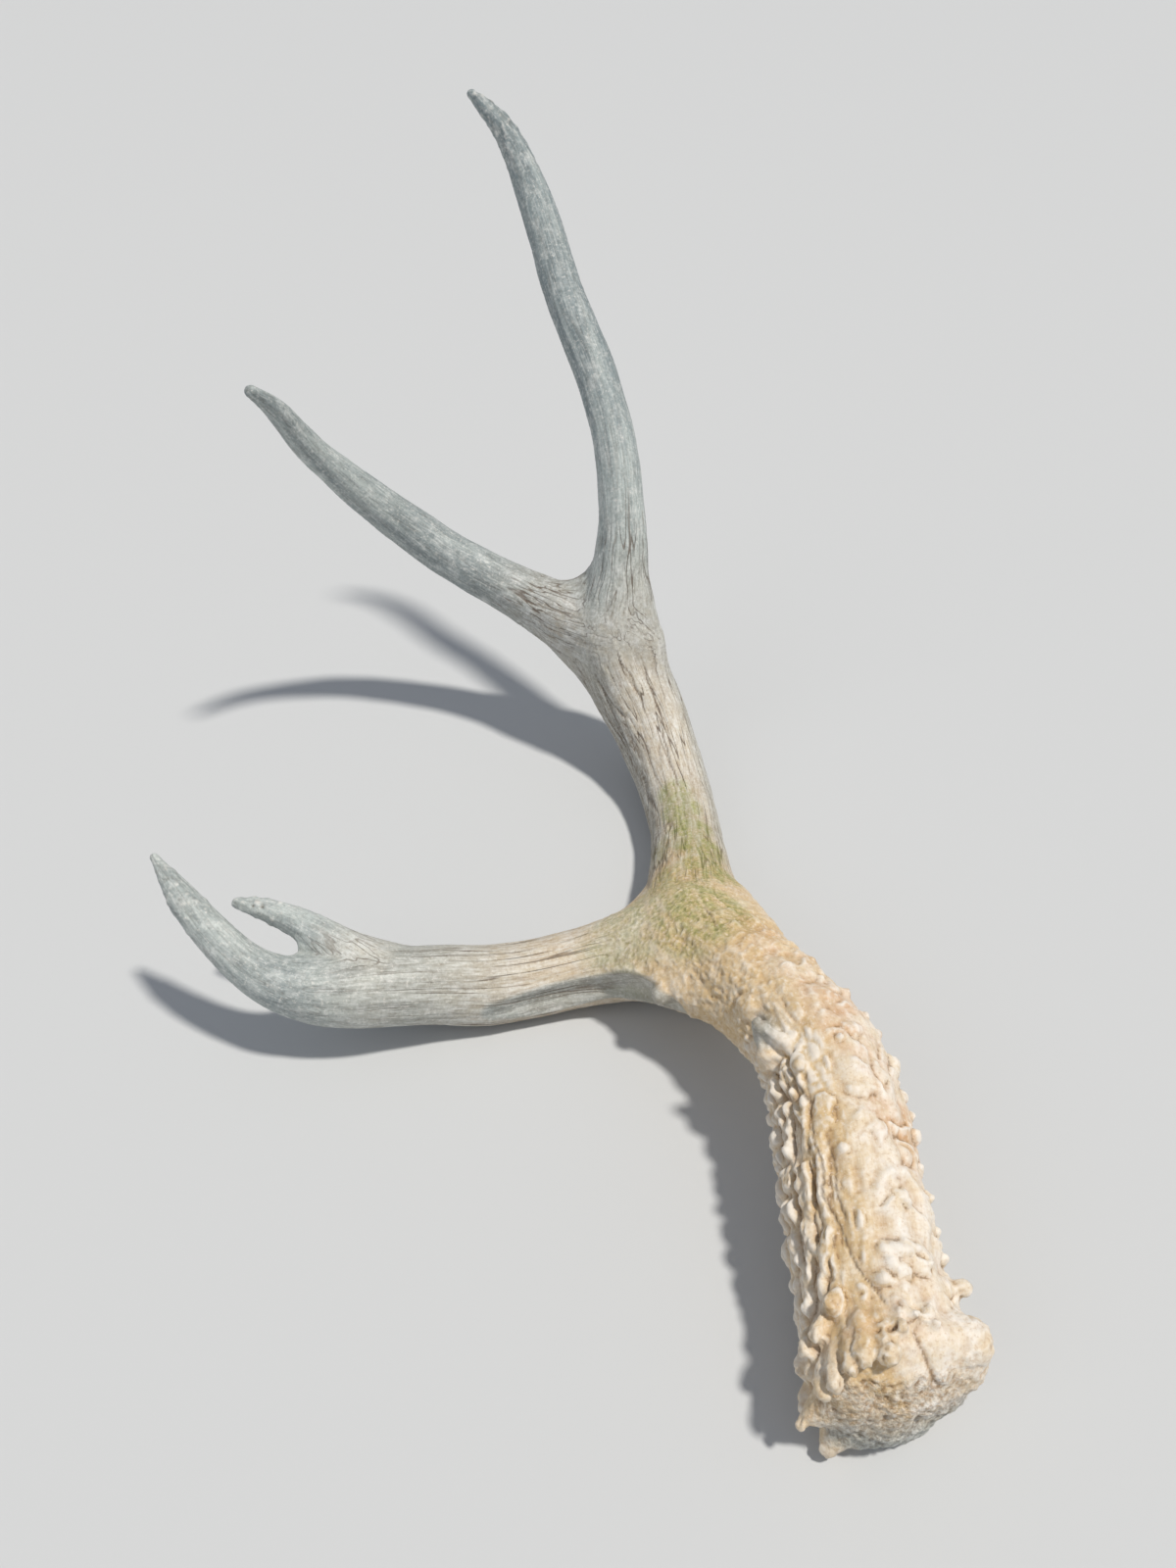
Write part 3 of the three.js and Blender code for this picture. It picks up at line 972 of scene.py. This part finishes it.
# %% Which piece each square belongs to
NODES = [
    "base_beam",
    "rear_beam",
    "rear_tall_tine",
    "rear_low_tine",
    "front_beam",
    "front_long_tine",
    "front_short_tine",
]
FORK_REACH = 48  # mm round a fork where the planes decide
MAIN_FORK_AT = 171  # mm along the spine
REAR_FORK_AT = 369
FRONT_FORK_AT = 137  # mm along the front limb
spine_piece = np.where(along < MAIN_FORK_AT, 0, np.where(along < REAR_FORK_AT, 1, 2))
front_piece = np.where(front_along < FRONT_FORK_AT, 4, 5)
strongest = np.argmax([shares[name] for name in ("spine", "front", "low_tine", "short_tine")], axis=0)
piece_of = np.choose(strongest, [spine_piece, front_piece, 3, 6])
for middle, ways in FORKS.values():
    arm = skin - np.array(middle, float)
    names = [NODES.index(node) for node in ways]
    pulls = np.stack([arm @ unit(np.array(way, float) - np.array(middle, float)) for way in ways.values()])
    close = (np.linalg.norm(arm, axis=1) < FORK_REACH) & np.isin(piece_of, names)
    piece_of = np.where(close, np.array(names)[pulls.argmax(0)], piece_of)
square_piece = piece_of[squares[:, 0]]
print("squares of each piece", np.bincount(square_piece))


# %% Smooth normals of the whole skin
def skin_normals(points):
    p = points[squares]
    face = np.cross(p[:, 2] - p[:, 0], p[:, 3] - p[:, 1])
    total = [np.bincount(squares.ravel(), np.repeat(face[:, i], 4), len(points)) for i in range(3)]
    return unit(np.stack(total, 1))


normals = skin_normals(skin_lifted)
if (normals * out).sum(1).mean() < 0:
    squares = squares[:, ::-1]
    normals = -normals
print("normals point out on", round(float(((normals * out).sum(1) > 0).mean()), 3), "of the points")

# %% What the material will read on each piece
rubbed = shares["spine"] * smoothstep(along, 400, 440) + shares["low_tine"] * smoothstep(low_along, 30, 80)
rubbed += shares["front"] * smoothstep(front_along, 120, 150)
rubbed += shares["short_tine"] * smoothstep(short_along, 10, 30)
rubbed = np.maximum(rubbed, shares["spine"] * until(along, 120, 165))
b_share = shares["front"] + shares["low_tine"]
GRAINS = {
    "grain_a": np.where((shares["short_tine"] > 0.02)[:, None], grain("short_tine"), grain("spine")),
    "grain_b": np.where((shares["low_tine"] > 0.02)[:, None], grain("low_tine"), grain("front")),
}
MASKS = {
    "pits_and_shade": pits_and_shade,
    "hollows_and_shade": hollows_and_shade,
    "warm": warm,
    "tan": tan,
    "ochre": ochre,
    "algae": algae,
    "seal": granular,
    "cracks": cracks,
    "rubbed": rubbed,
    "slate_and_shade": slate_and_shade,
    "streaky": streaky,
    "b_share": b_share,
}
print(len(MASKS), "masks and", len(GRAINS), "sets of grain coordinates")


# %% Build the pieces
def build_piece(number, name):
    mine = squares[square_piece == number]
    used, corners = np.unique(mine, return_inverse=True)
    mesh = bpy.data.meshes.new(name + "_skin")
    mesh.vertices.add(len(used))
    mesh.vertices.foreach_set("co", (skin_lifted[used] * MM).ravel())
    mesh.loops.add(corners.size)
    mesh.loops.foreach_set("vertex_index", corners.ravel().astype(np.int32))
    mesh.polygons.add(len(mine))
    mesh.polygons.foreach_set("loop_start", np.arange(0, corners.size, 4, dtype=np.int32))
    mesh.update(calc_edges=True)
    mesh.validate()
    for label, values in MASKS.items():
        attribute = mesh.attributes.new(label, "FLOAT", "POINT")
        attribute.data.foreach_set("value", values[used].astype(np.float32))
    for label, values in GRAINS.items():
        attribute = mesh.attributes.new(label, "FLOAT_VECTOR", "POINT")
        attribute.data.foreach_set("vector", values[used].astype(np.float32).ravel())
    mesh.normals_split_custom_set_from_vertices(normals[used].tolist())
    piece = bpy.data.objects.new(name + "_skin", mesh)
    bpy.context.scene.collection.objects.link(piece)
    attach(piece, "root")
    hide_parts(name)
    print(f"{name}: {2 * len(mine)} triangles")
    return piece


PIECES = {name: build_piece(number, name) for number, name in enumerate(NODES)}

# %% [markdown]
# ## The finish: weathered antler
#
# Antler is bone: mineral and collagen, dull when dry, with an IOR of about 1.55. Sun and rain take its
# brown tannin stain and leave chalky high spots, while soil and old stain stay in the grooves. The colour
# also carries painted shade in the grooves and painted highlight on the crests. That gives the eye a matt,
# slightly chalky surface, warm in the recesses and pale on the crests, with grain-wise streaks and small
# mottles. The fibres of the bone are about 0.2 mm wide, too fine to show from here, so the finest streaks
# are drawn 0.8 mm wide and the grit 0.5 mm. One recipe serves all pieces, because the bone is one: the
# masks on the mesh change it along the way.


# %% One helper adds a node with its settings and links
def linear(hex_colour):
    parts = [int(hex_colour[i : i + 2], 16) / 255 for i in (1, 3, 5)]
    return tuple(c / 12.92 if c <= 0.04045 else ((c + 0.055) / 1.055) ** 2.4 for c in parts) + (1.0,)


def add(tree, kind, *inputs, out=None, **settings):
    """Adds a node and gives one of its outputs. Inputs fill its open sockets in order. A setting whose name
    starts with a capital is a socket too, and the others are the node's own."""
    node = tree.nodes.new("ShaderNode" + kind)
    for key, value in settings.items():
        if key[0].islower():
            setattr(node, key, value)
    filled = list(zip([socket for socket in node.inputs if socket.enabled], inputs))
    filled += [(node.inputs[key.replace("_", " ")], settings[key]) for key in settings if key[0].isupper()]
    for socket, value in filled:
        if isinstance(value, bpy.types.NodeSocket):
            tree.links.new(value, socket)
        else:
            socket.default_value = value
    return node.outputs[out] if out else next((socket for socket in node.outputs if socket.enabled), None)


# %% Colours of weathered antler
CREAM = linear("#e8dac3")  # dry bone
CHALK = linear("#f4efe7")  # crests bleached by the sun, with painted highlight on them too
HONEY = linear("#d6bb8e")  # bone that kept a little of its stain
OCHRE = linear("#cf9a60")  # iron from the soil
TAN = linear("#ad8658")  # old stain and painted shade in the grooves
SOIL = linear("#55402a")
GREY = linear("#b7c1bf")  # bone of the tines
SLATE = linear("#839093")
FLECK = linear("#e6e8e4")
SHADE = linear("#6b6962")  # dirt and painted shade in the grooves of grey bone
MOSS = linear("#a3a452")  # dry algae
DEEP_MOSS = linear("#5c6534")


# %% A coat of colour, and patterns that follow the grain
def product(tree, *terms):
    """Multiplies the terms. A term is a value, or a value with limits that are stretched to 0 and 1."""
    share, *others = [add(tree, "MapRange", *term) if isinstance(term, tuple) else term for term in terms]
    for other in others:
        share = add(tree, "Math", share, other, operation="MULTIPLY")
    return share


def coat(tree, ground, colour, *terms):
    """Lays a colour over the ground by the product of the terms."""
    return add(tree, "Mix", product(tree, *terms), ground, colour, data_type="RGBA")


def along_grain(tree, b_share, size_mm, stretch, detail=3.0):
    """Noise drawn out along the limbs, mixed from the two sets of grain coordinates."""
    both = []
    for label in GRAINS:
        lines = add(tree, "Attribute", attribute_name=label, out="Vector")
        squeezed = add(tree, "VectorMath", lines, (1, 1, 1 / stretch), operation="MULTIPLY")
        both.append(add(tree, "TexNoise", squeezed, 1 / size_mm, detail, 0.6))
    return add(tree, "Mix", b_share, *both, data_type="FLOAT")


def thin_lines(tree, b_share, size_mm, stretch, width):
    """Threads where the noise crosses its middle value."""
    lines = along_grain(tree, b_share, size_mm, stretch, 1.0)
    off_middle = add(tree, "Math", lines, 0.5, operation="SUBTRACT")
    from_line = add(tree, "Math", off_middle, operation="ABSOLUTE")
    return add(tree, "MapRange", from_line, width, 0.3 * width)


# %% The recipe
def weathered_antler(name):
    material = bpy.data.materials.new(name)
    material.use_nodes = True
    tree = material.node_tree
    tree.nodes.clear()

    # What the mesh says, and noise with no direction: size of a spot in mm, detail, roughness
    mask = {label: add(tree, "Attribute", attribute_name=label, out="Fac") for label in MASKS}
    warm, pits_and_shade, streaky, b_share = [mask[label] for label in ("warm", "pits_and_shade", "streaky", "b_share")]
    place = add(tree, "TexCoord", out="Object")
    millimetres = add(tree, "VectorMath", place, Scale=1000.0, operation="SCALE")
    mottle, speck, cloud, grit = [
        add(tree, "TexNoise", millimetres, 1 / size_mm, detail, roughness)
        for size_mm, detail, roughness in ((6, 4, 0.65), (1.1, 3, 0.7), (22, 3, 0.5), (0.5, 4, 0.65))
    ]
    fine_streak = along_grain(tree, b_share, 0.8, 10)
    broad_streak = along_grain(tree, b_share, 4.0, 9)

    # Bare bone: grey on the tines, cream, honey and ochre on the base
    # The slate mask carries painted light and shade along the tines, in the trough and on the lower seal
    bluish = add(tree, "Math", broad_streak, mask["slate_and_shade"])
    cool = coat(tree, GREY, SLATE, (bluish, 0.35, 0.68))
    cool = coat(tree, cool, FLECK, (mottle, 0.5, 0.72, 0, 0.5))
    pale_bone = coat(tree, CREAM, CHALK, (mottle, 0.36, 0.62))
    tan_bone = coat(tree, HONEY, CREAM, (mottle, 0.44, 0.74))
    tanned = add(tree, "Math", cloud, 0.5, mask["tan"], operation="MULTIPLY_ADD")
    bone_tone = coat(tree, pale_bone, tan_bone, (tanned, 0.35, 1.05))
    rusty = add(tree, "Math", mottle, 0.5, cloud, operation="MULTIPLY_ADD")
    in_recesses = (pits_and_shade, -0.7, 0.2, 0.3, 0.9)
    bone_tone = coat(tree, bone_tone, OCHRE, mask["ochre"], (rusty, 0.68, 0.92), in_recesses)
    ground = coat(tree, cool, bone_tone, (warm, 0.0, 0.85))

    # Stain, soil and painted shade in the low spots, chalk and painted highlight on the high ones, streaks
    # along the grain
    sunk = add(tree, "Math", mask["hollows_and_shade"], 0.7, pits_and_shade, operation="MULTIPLY_ADD")
    low_spots_and_shade = add(tree, "MapRange", sunk, 0.0, 1.1)
    pit_and_shade_tone = coat(tree, SHADE, TAN, (warm, 0.1, 0.9))
    ground = coat(tree, ground, pit_and_shade_tone, low_spots_and_shade, (warm, 0.0, 1.0, 0.45, 0.52))
    ground = coat(tree, ground, SOIL, (pits_and_shade, 0.6, 1.0, 0, 0.6), (speck, 0.25, 0.55))
    ground = coat(tree, ground, pit_and_shade_tone, streaky, (fine_streak, 0.5, 0.68, 0, 0.45))
    ground = coat(tree, ground, FLECK, streaky, (fine_streak, 0.48, 0.32, 0, 0.5))
    ground = coat(tree, ground, pit_and_shade_tone, (speck, 0.54, 0.7, 0, 0.42))
    ground = coat(tree, ground, CHALK, (speck, 0.45, 0.3, 0, 0.46))
    ground = coat(tree, ground, CHALK, (pits_and_shade, -0.15, -0.9, 0, 0.62))

    # Threads and hairline cracks, which come in clusters and are worn off where the bone was rubbed
    clusters = (along_grain(tree, b_share, 7.0, 5), 0.44, 0.56)
    unrubbed = (mask["rubbed"], 0.0, 1.0, 1.0, 0.3)
    hairline = product(tree, thin_lines(tree, b_share, 3.4, 30, 0.026), streaky, clusters, unrubbed)
    ground = coat(tree, ground, pit_and_shade_tone, thin_lines(tree, b_share, 1.7, 16, 0.035), streaky, 0.28)
    ground = coat(tree, ground, SOIL, hairline, 0.85)
    ground = coat(tree, ground, SHADE, streaky, warm, 0.16)

    # Algae, the granular seal and the long cracks
    blotches = add(tree, "Math", speck, mottle)
    moss = product(tree, mask["algae"], (blotches, 0.72, 1.08))
    ground = coat(tree, ground, MOSS, moss, 0.74)
    # Darker moss in the low spots, partly painted shade
    ground = coat(tree, ground, DEEP_MOSS, moss, (pits_and_shade, -0.3, 0.4), 0.8)
    ground = coat(tree, ground, pit_and_shade_tone, mask["seal"], (speck, 0.46, 0.6, 0, 0.5))
    ground = coat(tree, ground, SOIL, mask["cracks"], 0.85)

    # Relief finer than the skin: strength, depth in mm, height, and whether it is sunk
    finer = [
        (0.6, 0.2, grit, False),
        (0.8, 1.2, product(tree, mask["seal"], speck), False),
        (0.5, 0.3, product(tree, streaky, fine_streak), False),
        (0.7, 0.4, hairline, True),
    ]
    normal = {}
    for strength, depth_mm, height, sunken in finer:
        depth = depth_mm * MM
        bump = add(tree, "Bump", Strength=strength, Distance=depth, Height=height, invert=sunken, **normal)
        normal = {"Normal": bump}
    dusty = add(tree, "Math", speck, low_spots_and_shade)
    rough = add(tree, "MapRange", dusty, 0.3, 1.4, 0.56, 0.85)
    shader = add(tree, "BsdfPrincipled", Base_Color=ground, Roughness=rough, IOR=1.55, **normal)
    add(tree, "OutputMaterial", shader)
    return material


# %% Give each piece its finish
pearled_antler = weathered_antler("weathered antler, pearled")
beam_antler = weathered_antler("weathered antler, grooved")
tine_antler = weathered_antler("weathered antler, rubbed")
for name, piece in PIECES.items():
    if name == "base_beam":
        finish, slot = pearled_antler, "pearled_bone"
    elif name in ("rear_beam", "front_beam"):
        finish, slot = beam_antler, "beam_bone"
    else:
        finish, slot = tine_antler, "tine_bone"
    piece.data.materials.append(finish)
print("finished", len(PIECES), "pieces")

# %% [markdown]
# ## Studio
#
# A wide pale floor, a lamp from high on the right, a weak and very soft one from the front left, and an
# even pale sky that fills the shadows. Both lamps are suns, which give the same light everywhere, so the
# floor stays even.

# %% Floor and lamps
bpy.ops.mesh.primitive_plane_add(size=24, location=(0, 4, 0))
floor = bpy.context.object
floor.name = "studio_floor"
paint = bpy.data.materials.new("matt pale floor paint")
paint.use_nodes = True
matt = paint.node_tree.nodes["Principled BSDF"]
matt.inputs["Base Color"].default_value = linear("#c9cbcc")
matt.inputs["Roughness"].default_value = 0.9
floor.data.materials.append(paint)


def lamp(name, energy, softness, direction, colour):
    """A sun. Its softness is its width in degrees, and the direction points to it."""
    light = bpy.data.lights.new(name, "SUN")
    light.energy = energy
    light.angle = math.radians(softness)
    light.color = colour
    holder = bpy.data.objects.new(name, light)
    holder.rotation_euler = Vector(direction).to_track_quat("Z", "Y").to_euler()
    bpy.context.scene.collection.objects.link(holder)


lamp("lamp", 2.88, 5, (0.34, -0.17, 0.92), (1.0, 0.955, 0.89))
lamp("fill", 0.26, 40, (-0.62, -0.5, 0.6), (1.0, 1.0, 1.0))

# %% Sky and camera
world = bpy.data.worlds.new("pale sky")
world.use_nodes = True
sky = world.node_tree.nodes["Background"]
sky.inputs["Color"].default_value = (0.82, 0.88, 1.0, 1.0)
sky.inputs["Strength"].default_value = 0.32
bpy.context.scene.world = world
bpy.context.scene.view_settings.view_transform = "Standard"

camera_data = bpy.data.cameras.new("camera")
camera_data.sensor_width = 36
camera_data.lens = 27
camera_data.clip_start = 0.01
camera = bpy.data.objects.new("camera", camera_data)
camera.location = (0.0229, -0.3581, 0.34104)
LOOKS_DOWN = 37.83  # degrees below level
camera.rotation_euler = (math.radians(90 - LOOKS_DOWN), 0, 0)
bpy.context.scene.collection.objects.link(camera)
bpy.context.scene.camera = camera
print("camera at", [round(v, 3) for v in camera.location])
